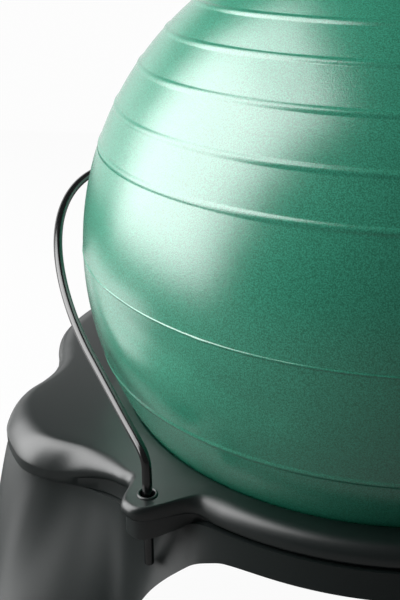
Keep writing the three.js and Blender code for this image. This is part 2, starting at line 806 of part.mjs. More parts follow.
function axleGeometry() {
  const half = wheelGapHalf + wheelWidth;
  return turnedAcross([
    [0, -half],
    [axleRadius, -half],
    [axleRadius, half],
    [0, half],
  ], boreSegments);
}

// Stem: steel pin from the hood's neck up into the sleeve
function stemGeometry() {
  return turned([
    [0, wheelRadius + hoodRadius / 2 + fitGap],
    [stemRadius, wheelRadius + hoodRadius / 2 + fitGap],
    [stemRadius, footHeight + stemLength - stemRadius],
    [stemRadius * 0.7, footHeight + stemLength - fitGap],
    [0, footHeight + stemLength - fitGap],
  ], boreSegments);
}

// Brake lever: a pedal on a barrel across the hood's end
function leverGeometry() {
  const barrel = new THREE.CylinderGeometry(leverBarrelRadius, leverBarrelRadius, leverWidth, boreSegments);
  let lever = solid(barrel.rotateZ(Math.PI / 2).translate(0, leverAxis.y, leverAxis.z));
  const topFace = leverAxis.z + leverBarrelRadius;
  const low = new THREE.Vector3(-leverWidth / 2, leverAxis.y - leverLength, topFace - leverThickness);
  const high = new THREE.Vector3(leverWidth / 2, leverAxis.y, topFace);
  lever = lever.add(solid(block(low, high)));
  return geometryOf(lever);
}

quarters.forEach(([name, sx, sy]) => {
  const front = sy > 0;
  addPiece(`leg_${name}`, legMoulding(sx, sy), blackPlastic);
  screwPlaces(front).forEach((place, k) => {
    addPiece(`screw_${name}_${k + 1}`, screwGeometry(place, sx, sy), zincSteel);
  });
  const corner = new THREE.Group();
  corner.position.set(-casterX * sx, -casterY * sy, 0);
  chair.add(corner);
  addPiece(`socket_${name}`, sleeveGeometry(), zincSteel, corner);
  const swivel = new THREE.Group();
  swivel.rotation.z = front ? 0 : Math.PI;
  corner.add(swivel);
  addPiece(`caster_stem_${name}`, stemGeometry(), zincSteel, swivel);
  addPiece(`caster_hood_${name}`, hoodGeometry(front), casterPlastic, swivel);
  addPiece(`caster_axle_${name}`, axleGeometry(), zincSteel, swivel);
  addPiece(`wheel_${name}_a`, wheelGeometry(-1), casterPlastic, swivel);
  addPiece(`wheel_${name}_b`, wheelGeometry(1), casterPlastic, swivel);
  if (front) addPiece(`brake_lever_${name}`, leverGeometry(), casterPlastic, swivel);
});

// Level arc of the hoop behind the ball
class RearArc extends THREE.Curve {
  constructor(radius, height, start) {
    super();
    this.radius = radius;
    this.height = height;
    this.start = start;
  }

  getPoint(t, target = new THREE.Vector3()) {
    const turn = Math.PI - this.start - (Math.PI - 2 * this.start) * t;
    return target.set(this.radius * Math.cos(turn), this.radius * Math.sin(turn), this.height);
  }
}

// Hoop's centre line from the left foot round the back to the right foot
function hoopPath() {
  const ear = polar(earAngle, earBoreReach, deckTop);
  const rearRadius = ballRadius + hoopStandoff;
  const rearHeight = ballCentreHeight + hoopRearRise;
  const heading = radians(hoopHeadingAngle);
  const slope = radians(hoopSlopeAngle);
  const along = new THREE.Vector3(-Math.sin(heading) * Math.cos(slope), Math.cos(heading) * Math.cos(slope), Math.sin(slope));
  const foot = ear.clone().setZ(deckTop - hoopFootDrop);
  const rise = ear.clone().setZ(deckTop + hoopUpright);
  const knee = ear.clone().add(new THREE.Vector3(-hoopKneeAcross, hoopKneeBack, hoopKneeRise));
  const legEnd = knee.clone().addScaledVector(along, hoopLegLength);
  const start = radians(hoopRearAngle);
  const rear = new THREE.Vector3(-rearRadius * Math.cos(start), rearRadius * Math.sin(start), rearHeight);
  const rearAlong = new THREE.Vector3(Math.sin(start), Math.cos(start), 0);
  const up = new THREE.Vector3(0, 0, 1);
  const left = [
    [foot, rise],
    [rise, rise.clone().addScaledVector(up, hoopLowPull), knee.clone().addScaledVector(along, -hoopKneePull), knee],
    [knee, legEnd],
    [legEnd, legEnd.clone().addScaledVector(along, hoopLegPull), rear.clone().addScaledVector(rearAlong, -hoopRearPull), rear],
  ];
  const stretch = (points) => (points.length === 2
    ? new THREE.LineCurve3(...points)
    : new THREE.CubicBezierCurve3(...points));
  const across = (point) => new THREE.Vector3(-point.x, point.y, point.z);
  const path = new THREE.CurvePath();
  left.forEach((points) => path.add(stretch(points)));
  path.add(new RearArc(rearRadius, rearHeight, start));
  [...left].reverse().forEach((points) => path.add(stretch(points.map(across).reverse())));
  return path;
}

function hoopGeometry() {
  const circle = new THREE.Shape().absarc(0, 0, hoopRodRadius, 0, Math.PI * 2);
  return new THREE.ExtrudeGeometry(circle, {
    steps: hoopSteps,
    curveSegments: hoopHalfSides,
    extrudePath: hoopPath(),
  });
}
addPiece('hoop', hoopGeometry(), lacquer);

// The origin lies midway between the front casters' reach and the hoop's rear
const footprint = new THREE.Box3().setFromObject(chair);
chair.position.y = -(footprint.min.y + footprint.max.y) / 2;

export default chair;
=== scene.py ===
import math
import random

import bmesh
import bpy
from mathutils import Matrix, Vector
from mathutils.bvhtree import BVHTree


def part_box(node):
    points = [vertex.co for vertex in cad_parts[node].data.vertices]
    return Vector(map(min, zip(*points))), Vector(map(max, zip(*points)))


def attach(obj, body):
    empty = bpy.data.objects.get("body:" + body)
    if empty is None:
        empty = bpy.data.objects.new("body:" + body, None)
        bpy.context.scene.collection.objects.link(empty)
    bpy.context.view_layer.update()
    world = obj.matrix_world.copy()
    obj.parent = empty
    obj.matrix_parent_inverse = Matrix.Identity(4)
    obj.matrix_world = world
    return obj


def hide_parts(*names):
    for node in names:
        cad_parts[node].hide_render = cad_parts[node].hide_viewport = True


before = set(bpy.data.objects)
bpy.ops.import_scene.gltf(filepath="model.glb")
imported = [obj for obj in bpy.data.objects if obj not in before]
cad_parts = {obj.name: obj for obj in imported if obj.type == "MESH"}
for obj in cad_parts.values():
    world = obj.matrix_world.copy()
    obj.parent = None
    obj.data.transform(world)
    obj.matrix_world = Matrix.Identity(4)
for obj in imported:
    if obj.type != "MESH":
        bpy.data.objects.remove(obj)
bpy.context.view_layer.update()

# Chair's place in the frame: the ball's axis stands a little in front of the middle of the
# footprint, because the hoop reaches further back than the ball does in front. Every piece that
# is made here is drawn round that upright axis and then set on it.
ball_low, ball_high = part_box("ball")
axis_x = (ball_low[0] + ball_high[0]) / 2
axis_y = (ball_low[1] + ball_high[1]) / 2
chair_axis = Matrix.Translation((axis_x, axis_y, 0))

# Camera: a close, high view over the front left ear, looking down on the ball, with the ball's
# right side, its top and the feet outside the picture.
camera_left = 0.0723
camera_forward = 0.7514
camera_height = 0.5944
camera_tilt = math.radians(66.2)
camera_turn = math.radians(6.75)
camera_data = bpy.data.cameras.new("camera")
camera_data.sensor_fit = "AUTO"
camera_data.sensor_width = 36
camera_data.lens = 54
camera_data.clip_start = 0.02
camera = bpy.data.objects.new("camera", camera_data)
bpy.context.collection.objects.link(camera)
camera.location = (axis_x - camera_left, axis_y - camera_forward, camera_height)
camera.rotation_euler = (camera_tilt, 0, camera_turn)
bpy.context.scene.camera = camera
bpy.context.scene.view_settings.view_transform = "Standard"

# Studio: the chair stands on white paper that curves up behind it. On its left are one very large
# soft window of light and a weak card of light on the floor, and the rest of the room is dim. The
# surround and the paper look white to the camera, and the paper keeps a faint shadow.
white = (1, 1, 1, 1)
room_tint = (0.93, 0.98, 1, 1)
room_level = 0.05
lit_paper = (0.95, 0.95, 0.95, 1)
unseen_paper = (0.12, 0.12, 0.12, 1)
paper_half_width = 5
floor_front = -4
floor_back = 1.7
curve_radius = 0.8
curve_steps = 16
wall_top = 1.5

# Gloss finds the white of the paper in the surround too, straight behind the chair and low
# down. Each pair gives where that white starts and where it is full, as y and z directions.
white_behind = (0.55, 0.8)
white_below = (0.42, 0.2)


def feed(tree, node, fed):
    for socket, value in fed.items():
        if isinstance(value, bpy.types.NodeSocket):
            tree.links.new(value, node.inputs[socket])
        else:
            node.inputs[socket].default_value = value


def add_node(tree, kind, fed):
    node = tree.nodes.new(kind)
    feed(tree, node, fed)
    return node


def calculate(tree, operation, first, second):
    step = add_node(tree, "ShaderNodeMath", {0: first, 1: second})
    step.operation = operation
    return step.outputs[0]


def mix_shaders(tree, share, first, second):
    return add_node(tree, "ShaderNodeMixShader", {"Fac": share, 1: first, 2: second}).outputs[0]


def looked_at_directly(tree, path):
    through = path.outputs["Is Transmission Ray"]
    return calculate(tree, "MAXIMUM", path.outputs["Is Camera Ray"], through)


world = bpy.data.worlds.new("studio_surround")
bpy.context.scene.world = world
world.use_nodes = True
tree = world.node_tree
tree.nodes.clear()
path = tree.nodes.new("ShaderNodeLightPath")
direction = tree.nodes.new("ShaderNodeTexCoord")
axes = add_node(tree, "ShaderNodeSeparateXYZ", {0: direction.outputs["Generated"]})
behind = add_node(tree, "ShaderNodeMapRange", {
    "Value": axes.outputs["Y"], "From Min": white_behind[0], "From Max": white_behind[1],
})
below = add_node(tree, "ShaderNodeMapRange", {
    "Value": axes.outputs["Z"], "From Min": white_below[0], "From Max": white_below[1],
})
sweep = calculate(tree, "MULTIPLY", behind.outputs["Result"], below.outputs["Result"])
mirrored = calculate(tree, "MULTIPLY", path.outputs["Is Glossy Ray"], sweep)
seen = calculate(tree, "MAXIMUM", looked_at_directly(tree, path), mirrored)
room = add_node(tree, "ShaderNodeBackground", {"Color": room_tint, "Strength": room_level})
blank = add_node(tree, "ShaderNodeBackground", {"Color": white, "Strength": 1})
either = mix_shaders(tree, seen, room.outputs[0], blank.outputs[0])
add_node(tree, "ShaderNodeOutputWorld", {"Surface": either})


def studio_paper(name, camera_share, gloss_share):
    paper = bpy.data.materials.new(name)
    paper.use_nodes = True
    tree = paper.node_tree
    tree.nodes.clear()
    path = tree.nodes.new("ShaderNodeLightPath")
    matt = add_node(tree, "ShaderNodeBsdfDiffuse", {"Color": unseen_paper}).outputs[0]
    shaded = add_node(tree, "ShaderNodeBsdfDiffuse", {"Color": lit_paper}).outputs[0]
    glow = add_node(tree, "ShaderNodeEmission", {"Color": white, "Strength": 1}).outputs[0]
    looked_at = mix_shaders(tree, camera_share, shaded, glow)
    mirrored = calculate(tree, "MULTIPLY", path.outputs["Is Glossy Ray"], gloss_share)
    bounced = mix_shaders(tree, mirrored, matt, glow)
    blend = mix_shaders(tree, looked_at_directly(tree, path), bounced, looked_at)
    add_node(tree, "ShaderNodeOutputMaterial", {"Surface": blend})
    return paper


def shade_smooth(mesh):
    for face in mesh.polygons:
        face.use_smooth = True


def quarter_turn(k, steps):
    return math.pi / 2 * k / steps


def paper_sheet(name, profile, paper):
    work = bmesh.new()
    left = [work.verts.new((-paper_half_width, y, z)) for y, z in profile]
    right = [work.verts.new((paper_half_width, y, z)) for y, z in profile]
    for k in range(len(profile) - 1):
        work.faces.new((left[k], right[k], right[k + 1], left[k + 1]))
    mesh = bpy.data.meshes.new(name)
    work.to_mesh(mesh)
    work.free()
    shade_smooth(mesh)
    mesh.materials.append(paper)
    sheet = bpy.data.objects.new(name, mesh)
    bpy.context.collection.objects.link(sheet)


floor_paper = studio_paper("floor_paper", camera_share=0.955, gloss_share=0.05)
paper_sheet("paper_floor", [(floor_front, 0), (floor_back, 0)], floor_paper)
wall_profile = []
for k in range(curve_steps + 1):
    turn = quarter_turn(k, curve_steps)
    back = floor_back + curve_radius * math.sin(turn)
    wall_profile.append((back, curve_radius - curve_radius * math.cos(turn)))
wall_profile.append((floor_back + curve_radius, wall_top))
backdrop_paper = studio_paper("backdrop_paper", camera_share=0.97, gloss_share=0.8)
paper_sheet("paper_backdrop", wall_profile, backdrop_paper)


def soft_light(name, middle, aim, width, height, power):
    data = bpy.data.lights.new(name, "AREA")
    data.shape = "RECTANGLE"
    data.size = width
    data.size_y = height
    data.energy = power
    light = bpy.data.objects.new(name, data)
    light.location = middle
    light.rotation_euler = (Vector(aim) - Vector(middle)).to_track_quat("-Z", "Y").to_euler()
    light.visible_camera = False
    bpy.context.collection.objects.link(light)


soft_light("window_left", middle=(-1.46, -0.19, 1.18), aim=(-0.17, -0.10, 0.47),
           width=1.88, height=2.62, power=38)
soft_light("window_left_middle", middle=(-1.45, -0.12, 0.98), aim=(-0.17, -0.07, 0.36),
           width=1.2, height=1.5, power=6.5)
soft_light("floor_card_left", middle=(-0.85, 0.30, 0.004), aim=(-0.85, 0.30, 1),
           width=0.44, height=0.8, power=1.25)

# Ball: a blow-moulded vinyl ball, 520 mm across, pearly sea green with a fine sparkle. Raised ribs
# run round it at a nearly even pitch on both sides of a thin, slightly ragged mould seam, which
# lies a little above its middle. It is inflated hard and lies in the dish by its own weight.
ball_radius = 0.260
ball_wall = 0.0016
ball_segments = 240
ball_row_step = 1.5
ball_inner_rows = 24
valve_radius = 0.0045
weld_distance = 1e-6
seat_gap = 0.0005
deck_height = 0.19404
dish_outer_angle = 59.82
dish_radius = ball_radius + seat_gap
ball_centre_height = deck_height + dish_radius * math.cos(math.radians(dish_outer_angle))
ball_middle = Vector((0, 0, ball_centre_height))
ball_rib_half_width = 0.0030
ball_rib_height = 0.0007
ball_rib_squareness = 2
ball_rib_angles = (19.6, 27.1, 35.2, 42.7, 49.6, 56.8, 64.2, 71.7)
ball_rib_lowest = deck_height + 0.024
below_dish_radius = 0.2024
seam_angle = 1.2
seam_half_width = 0.0009
seam_height = 0.0006
seam_squareness = 4
raised_half_rows = 6
raised_flank = 1.5
guard_angle = 0.12
flash_seed = 7
flash_low = 0.55
flash_high = 1.05
flash_burr = 0.7
flash_burr_share = 0.04
flash_zone = 0.35
flash_least = 1e-5
vinyl_dark = (0.018, 0.300, 0.170)
vinyl_pale = (0.065, 0.590, 0.375)

raised_rings = [(seam_angle, seam_half_width, seam_height, seam_squareness)]
for away in ball_rib_angles:
    for latitude in (seam_angle + away, seam_angle - away):
        turn = math.radians(latitude)
        above_deck = ball_centre_height + ball_radius * math.sin(turn) > ball_rib_lowest
        if above_deck or ball_radius * math.cos(turn) <= below_dish_radius:
            rib = (latitude, ball_rib_half_width, ball_rib_height, ball_rib_squareness)
            raised_rings.append(rib)
raised_rings.sort(reverse=True)


def ball_point(latitude, radius):
    turn = math.radians(latitude)
    return (max(radius * math.cos(turn), 0), ball_centre_height + radius * math.sin(turn))


def turned_rows(profile, segments):
    rows = []
    for radius, height in profile:
        row = []
        for k in range(segments):
            turn = 2 * math.pi * k / segments
            row.append((radius * math.cos(turn), radius * math.sin(turn), height))
        rows.append(row)
    return rows


def skin(name, rows, closed=False, capped=False):
    count = len(rows[0])
    points = [point for row in rows for point in row]
    faces = []
    for i in range(len(rows) if closed else len(rows) - 1):
        here = i * count
        above = ((i + 1) % len(rows)) * count
        for j in range(count):
            k = (j + 1) % count
            faces.append((here + j, here + k, above + k, above + j))
    if capped:
        faces.append(tuple(reversed(range(count))))
        faces.append(tuple(range(len(points) - count, len(points))))
    mesh = bpy.data.meshes.new(name)
    mesh.from_pydata(points, [], faces)
    mesh.update()
    work = bmesh.new()
    work.from_mesh(mesh)
    bmesh.ops.remove_doubles(work, verts=work.verts, dist=weld_distance)
    bmesh.ops.recalc_face_normals(work, faces=work.faces)
    work.to_mesh(mesh)
    work.free()
    shade_smooth(mesh)
    piece = bpy.data.objects.new(name, mesh)
    bpy.context.collection.objects.link(piece)
    return piece


valve_latitude = -math.degrees(math.acos(valve_radius / ball_radius))
ball_profile = [ball_point(90, ball_radius)]
previous = 90.0
for latitude, half_width, height, squareness in raised_rings + [(valve_latitude, 0, 0, 0)]:
    half = math.degrees(half_width / ball_radius)
    start = latitude + half + guard_angle
    end = latitude - half - guard_angle
    fills = int((previous - start) / ball_row_step)
    for k in range(1, fills + 1):
        share = (start - previous) * k / (fills + 1)
        ball_profile.append(ball_point(previous + share, ball_radius))
    if height:
        ball_profile.append(ball_point(start, ball_radius))
        for k in range(-raised_half_rows, raised_half_rows + 1):
            out = height * (1 - abs(k / raised_half_rows) ** squareness) ** raised_flank
            row_latitude = latitude - half * k / raised_half_rows
            ball_profile.append(ball_point(row_latitude, ball_radius + out))
        ball_profile.append(ball_point(end, ball_radius))
    else:
        ball_profile.append(ball_point(latitude, ball_radius))
    previous = end
inner_radius = ball_radius - ball_wall
inner_drop = math.sqrt(inner_radius ** 2 - valve_radius ** 2)
ball_profile.append((valve_radius, ball_centre_height - inner_drop))
for k in range(1, ball_inner_rows + 1):
    latitude = valve_latitude + (90 - valve_latitude) * k / ball_inner_rows
    ball_profile.append(ball_point(latitude, inner_radius))
ball = skin("ribbed_ball", turned_rows(ball_profile, ball_segments))

ragged = random.Random(flash_seed)
flash = []
for k in range(ball_segments):
    height = ragged.uniform(flash_low, flash_high)
    flash.append(height + (flash_burr if ragged.random() < flash_burr_share else 0))
for point in ball.data.vertices:
    out = Vector(point.co) - ball_middle
    latitude = math.degrees(math.asin(max(-1, min(1, out.z / out.length))))
    proud = out.length - ball_radius
    if abs(latitude - seam_angle) < flash_zone and proud > flash_least:
        k = round(math.atan2(out.y, out.x) / (2 * math.pi) * ball_segments) % ball_segments
        point.co = ball_middle + out.normalized() * (ball_radius + proud * flash[k])

# Each soft dent is a streak: azimuth and latitude of its start and end, half width and depth.
dents = (
    (56.0, -1.8, 33.3, -3.8, 0.017, 0.0030),
    (32.2, -4.4, 17.5, -9.1, 0.012, 0.0016),
)


def on_ball(azimuth, latitude):
    turn, lift = math.radians(azimuth), math.radians(latitude)
    level = math.cos(lift)
    return Vector((-math.sin(turn) * level, -math.cos(turn) * level, math.sin(lift)))


for point in ball.data.vertices:
    outward = (Vector(point.co) - ball_middle).normalized()
    sunk = 0
    for start_azimuth, start_latitude, end_azimuth, end_latitude, half_width, depth in dents:
        start = on_ball(start_azimuth, start_latitude)
        end = on_ball(end_azimuth, end_latitude)
        middle = ((start + end) / 2).normalized()
        along = (end - start).normalized()
        across = middle.cross(along)
        beside = outward.dot(across) * ball_radius / half_width
        ahead = outward.dot(along) / (end - start).length * 2
        if outward.dot(middle) > 0:
            sunk += depth * math.exp(-beside ** 2 - ahead ** 4)
    point.co = point.co - outward * sunk
ball.data.transform(chair_axis)


def start_material(name):
    material = bpy.data.materials.new(name)
    material.use_nodes = True
    return material, material.node_tree, material.node_tree.nodes["Principled BSDF"]


def surface_point(tree):
    return tree.nodes.new("ShaderNodeTexCoord").outputs["Object"]


def two_tones(tree, pattern, dark, pale, dark_end=0, pale_end=1):
    ramp = add_node(tree, "ShaderNodeValToRGB", {"Fac": pattern})
    ends = ramp.color_ramp.elements
    ends[0].position = dark_end
    ends[0].color = (*dark, 1)
    ends[1].position = pale_end
    ends[1].color = (*pale, 1)
    return ramp.outputs["Color"]


def relief(tree, pattern, strength, depth):
    bump = add_node(tree, "ShaderNodeBump", {
        "Height": pattern, "Strength": strength, "Distance": depth,
    })
    return bump.outputs["Normal"]


vinyl, tree, shader = start_material("pearl_vinyl")
flakes = add_node(tree, "ShaderNodeTexNoise", {
    "Vector": surface_point(tree), "Scale": 1150, "Detail": 2, "Roughness": 0.6,
}).outputs["Fac"]
grain = relief(tree, flakes, strength=0.55, depth=0.00024)
feed(tree, shader, {
    "Base Color": two_tones(tree, flakes, vinyl_dark, vinyl_pale, dark_end=0.38, pale_end=0.64),
    "Normal": grain,
    "Roughness": 0.42,
    "Coat Normal": grain,
    "Coat Weight": 1,
    "Coat Roughness": 0.13,
    "Coat IOR": 2.3,
})
ball.data.materials.append(vinyl)
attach(ball, "ball")
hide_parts("ball")

# Valve plug: a stopper of soft off-white plastic with a thin flange. It is moulded in one piece,
# pushed into the valve under the ball, and held there by friction.
plug_dark = (0.62, 0.67, 0.63)
plug_pale = (0.76, 0.80, 0.77)
plug_rounding = 0.0003
rounding_angle = math.radians(40)
plug_plastic, tree, shader = start_material("plug_plastic")
cloud = add_node(tree, "ShaderNodeTexNoise", {"Scale": 240}).outputs["Fac"]
feed(tree, shader, {
    "Base Color": two_tones(tree, cloud, plug_dark, plug_pale),
    "Roughness": 0.45,
})


def dress(node, material, width):
    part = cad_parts[node]
    part.data.materials.clear()
    part.data.materials.append(material)
    rounding = part.modifiers.new("rounding", "BEVEL")
    rounding.width = width
    rounding.segments = 2
    rounding.limit_method = "ANGLE"
    rounding.angle_limit = rounding_angle


dress("valve_plug", plug_plastic, plug_rounding)

# Seat ring: one injection-moulded ring of satin black plastic, screwed down on the four legs. A
# dish inside it carries the ball, a flat deck runs round it, four shoulders spread over the legs,
# and two ears at the front take the hoop. Its outer edge rolls over into a skirt.
dish_inner_angle = 51.9
dish_edge_round = 0.002
dish_edge_drop = 0.0003
dish_inner = dish_radius * math.sin(math.radians(dish_inner_angle))
dish_outer = dish_radius * math.sin(math.radians(dish_outer_angle))
ring_radius = dish_outer + 0.0258
ring_wall = 0.0036
ring_columns = 720
dish_rows = 8
deck_rows = 5
roll_rows = 18
lip_rows = 6
skirt_depth = 0.019
skirt_bottom = deck_height - skirt_depth
skirt_chamfer = 0.0006
lip_roll = 0.006
lip_depth = 0.006
lip_tuck = 0.0045
lip_clearance = 0.0008
shoulder_reach = ring_radius + 0.084
shoulder_roll = 0.046
rail_roll_share = 0.3
roll_share_span = 0.2
shoulder_out_gain = 0.15
shoulder_fall_loss = 0.87
ear_angle = 40.2
ear_reach = ring_radius + 0.0214
ear_radius = 0.021
ear_depth = 0.030
ear_half_angle = 4.4
ear_skirt_half_angle = 6.2
rod_radius = 0.00375
bore_radius = rod_radius + 0.00025
bore_depth = 0.05
bore_overrun = 0.01
bead_radius = 0.008
bead_root = 0.004
bead_foot = 0.0002
bead_height = 0.0014
bead_rows = 8
bead_segments = 64
bore_segments = 48
mouth_radius = 0.0056
mouth_depth = 0.008
mouth_overrun = 0.004
moulding_crease = 38
black_dark = (0.004, 0.0085, 0.008)
black_pale = (0.009, 0.0165, 0.0155)

# Rows of the shoulders: azimuth from the front or the rear, then shares of reach, roll and drop.
reach_share, roll_share, drop_share = 1, 2, 3
front_shoulder_shares = [
    (0, 0, 0.30, 0.68), (29, 0, 0.30, 0.68), (33, 0, 0.24, 0.56), (36, 0, 0.16, 0.40),
    (38, 0, 0.13, 0.34), (41.5, 0.04, 0.13, 0.34), (44.5, 0.15, 0.16, 0.38),
    (47.5, 0.25, 0.19, 0.42), (49.5, 0.28, 0.23, 0.46), (51.3, 0.32, 0.3, 0.54),
    (53.7, 0.396, 0.37, 0.68), (55.6, 0.478, 0.43, 0.82), (57.2, 0.56, 0.48, 0.95),
    (58.5, 0.64, 0.53, 1.04), (60, 0.74, 0.57, 1.08), (62, 0.85, 0.58, 1.05),
    (64, 0.915, 0.57, 1.02), (67.5, 0.965, 0.56, 0.98), (71.5, 1, 0.53, 0.97),
    (75, 0.97, 0.44, 0.97), (78.5, 0.88, 0.4, 0.97), (82, 0.73, 0.4, 0.95),
    (86, 0.625, 0.4, 0.92), (90, 0.6, 0.4, 0.9),
]
rear_shoulder_shares = [
    (0, 0, 0.30, 0.68), (40, 0, 0.30, 0.68), (49, 0.08, 0.32, 0.78), (52.5, 0.24, 0.38, 0.9),
    (55, 0.47, 0.56, 0.93), (57, 0.73, 0.7, 0.97), (59, 0.88, 0.77, 0.97),
    (61.5, 0.955, 0.74, 0.97), (65, 0.98, 0.7, 0.97), (69, 0.96, 0.64, 0.97),
    (73, 0.92, 0.56, 0.97), (77, 0.87, 0.5, 0.97), (82.5, 0.74, 0.44, 0.95),
    (86, 0.65, 0.41, 0.92), (90, 0.6, 0.4, 0.9),
]
rear_skirt_shares = [(0, 0), (30, 0), (42, 1), (90, 1)]


def read_table(rows, at, column=1):
    if at <= rows[0][0]:
        return rows[0][column]
    if at >= rows[-1][0]:
        return rows[-1][column]
    k = 0
    while rows[k + 1][0] < at:
        k += 1

    def slope(n):
        if n <= 0 or n >= len(rows) - 1:
            return 0
        return (rows[n + 1][column] - rows[n - 1][column]) / (rows[n + 1][0] - rows[n - 1][0])

    span = rows[k + 1][0] - rows[k][0]
    t = (at - rows[k][0]) / span
    start, end = rows[k][column], rows[k + 1][column]
    ease = t * t * (3 - 2 * t)
    leaving, arriving = slope(k), slope(k + 1)
    lean = t * (1 - t) * (1 - t) * span * leaving - t * t * (1 - t) * span * arriving
    return start + (end - start) * ease + lean


def polar(azimuth, reach, height):
    turn = math.radians(azimuth)
    return Vector((-math.sin(turn) * reach, -math.cos(turn) * reach, height))


def fold_azimuth(azimuth):
    half = azimuth % 180
    return 180 - half if half > 90 else half


def ear_share(azimuth, front):
    return math.exp(-(abs(azimuth - ear_angle) / ear_half_angle) ** 3) if front else 0


def shoulder_share(azimuth, front, column):
    return read_table(front_shoulder_shares if front else rear_shoulder_shares, azimuth, column)


def edge_reach(azimuth, front):
    share = shoulder_share(azimuth, front, reach_share)
    return ring_radius + (shoulder_reach - ring_radius) * share


def skirt_height(azimuth, front):
    share = read_table(rear_skirt_shares, azimuth)
    if front:
        share = math.exp(-(max(ear_angle - azimuth, 0) / ear_skirt_half_angle) ** 3)
    return skirt_bottom - (ear_depth - skirt_depth) * share


def bowl_height(reach, radius):
    return ball_centre_height - math.sqrt(radius ** 2 - reach ** 2)


def ring_section(azimuth, front):
    plain = edge_reach(azimuth, front)
    edge = plain + (ear_reach + ear_radius - plain) * ear_share(azimuth, front)
    roll = shoulder_roll * shoulder_share(azimuth, front, roll_share)
    drop = skirt_depth * shoulder_share(azimuth, front, drop_share)
    bottom = skirt_height(azimuth, front)

    section = []
    dish_end = dish_outer - dish_edge_round / 2
    for k in range(dish_rows + 1):
        reach = dish_inner + (dish_end - dish_inner) * k / dish_rows
        section.append((reach, bowl_height(reach, dish_radius)))
    section.append((dish_outer + dish_edge_round / 2, deck_height - dish_edge_drop))
    deck_start = dish_outer + dish_edge_round
    section.append((deck_start, deck_height))
    deck_width = edge - roll - dish_outer - dish_edge_round
    for k in range(1, deck_rows):
        section.append((deck_start + deck_width * k / deck_rows, deck_height))

    spread = min(max((roll / shoulder_roll - rail_roll_share) / roll_share_span, 0), 1)
    spread = spread * spread * (3 - 2 * spread)
    out_power = 2 + shoulder_out_gain * spread
    fall_power = 2 - shoulder_fall_loss * spread
    for k in range(roll_rows + 1):
        out = math.sin(quarter_turn(k, roll_rows))
        fall = 1 - (1 - out ** out_power) ** (1 / fall_power)
        section.append((edge - roll + roll * out, deck_height - drop * fall))
    tuck = lip_tuck * (1 - spread)
    curl = min(deck_height - drop - bottom - lip_clearance, lip_depth)
    for k in range(1, lip_rows + 1):
        turn = quarter_turn(k, lip_rows)
        height = deck_height - drop - curl * math.sin(turn)
        section.append((edge - tuck * (1 - math.cos(turn)), height))
    section.append((edge - tuck, bottom + skirt_chamfer))
    section.append((edge - tuck - skirt_chamfer, bottom))
    section.append((min(plain, edge - tuck) - ring_wall, bottom))

    inner_roll = max(roll, ring_wall + lip_roll / 2)
    inner_fall = max(drop, ring_wall + lip_roll / 2)
    ceiling = deck_height - ring_wall
    for k in range(lip_rows, -1, -1):
        turn = quarter_turn(k, lip_rows)
        reach = plain - inner_roll + (inner_roll - ring_wall) * math.sin(turn)
        section.append((reach, ceiling - (inner_fall - ring_wall) * (1 - math.cos(turn))))
    under = dish_radius + ring_wall
    under_end = math.sqrt(under ** 2 - (ball_centre_height - ceiling) ** 2)
    for k in range(lip_rows, -1, -1):
        reach = dish_inner + (under_end - dish_inner) * k / lip_rows
        section.append((reach, bowl_height(reach, under)))
    return section


ring_rows = []
for k in range(ring_columns):
    azimuth = 360 * k / ring_columns
    front = azimuth < 90 or azimuth > 270
    section = ring_section(fold_azimuth(azimuth), front)
    ring_rows.append([polar(azimuth, reach, height) for reach, height in section])
ring = skin("seat_ring_moulding", ring_rows, closed=True)


def carve(piece, operation, name, profile, segments, spot):
    tool = skin(name, turned_rows(profile, segments))
    tool.data.transform(Matrix.Translation(spot))
    change = piece.modifiers.new("change", "BOOLEAN")
    change.operation = operation
    change.object = tool
    change.solver = "EXACT"
    graph = bpy.context.evaluated_depsgraph_get()
    mesh = bpy.data.meshes.new_from_object(piece.evaluated_get(graph))
    piece.modifiers.clear()
    piece.data = mesh
    bpy.data.objects.remove(tool)
    shade_smooth(mesh)


def drill(radius, low, high):
    return [(0, low), (radius, low), (radius, high), (0, high)]


bead_profile = [(0, -bead_root), (bead_radius, -bead_root), (bead_radius, -bead_foot)]
bead_middle = (bead_radius + mouth_radius) / 2
bead_half = (bead_radius - mouth_radius) / 2
for k in range(bead_rows + 1):
    turn = math.pi * k / bead_rows
    bead_profile.append((bead_middle + bead_half * math.cos(turn), bead_height * math.sin(turn)))
bead_profile.append((0, 0))
mouth_profile = drill(mouth_radius, -mouth_depth, mouth_overrun)
bore_profile = drill(bore_radius, -bore_depth, bore_overrun)
ear = polar(ear_angle, ear_reach, deck_height)
for side in (1, -1):
    spot = (ear.x * side, ear.y, deck_height)
    carve(ring, "UNION", "bead", bead_profile, bead_segments, spot)
    carve(ring, "DIFFERENCE", "mouth", mouth_profile, bead_segments, spot)
    carve(ring, "DIFFERENCE", "bore", bore_profile, bore_segments, spot)


def smooth_by_angle(piece, degrees):
    work = bmesh.new()
    work.from_mesh(piece.data)
    for edge in work.edges:
        met = len(edge.link_faces) == 2
        edge.smooth = met and edge.calc_face_angle() < math.radians(degrees)
    work.to_mesh(piece.data)
    work.free()


smooth_by_angle(ring, moulding_crease)
ring.data.transform(chair_axis)


def vary_gloss(tree, pattern, glossy, dull):
    return add_node(tree, "ShaderNodeMapRange", {
        "Value": pattern, "To Min": glossy, "To Max": dull,
    }).outputs["Result"]


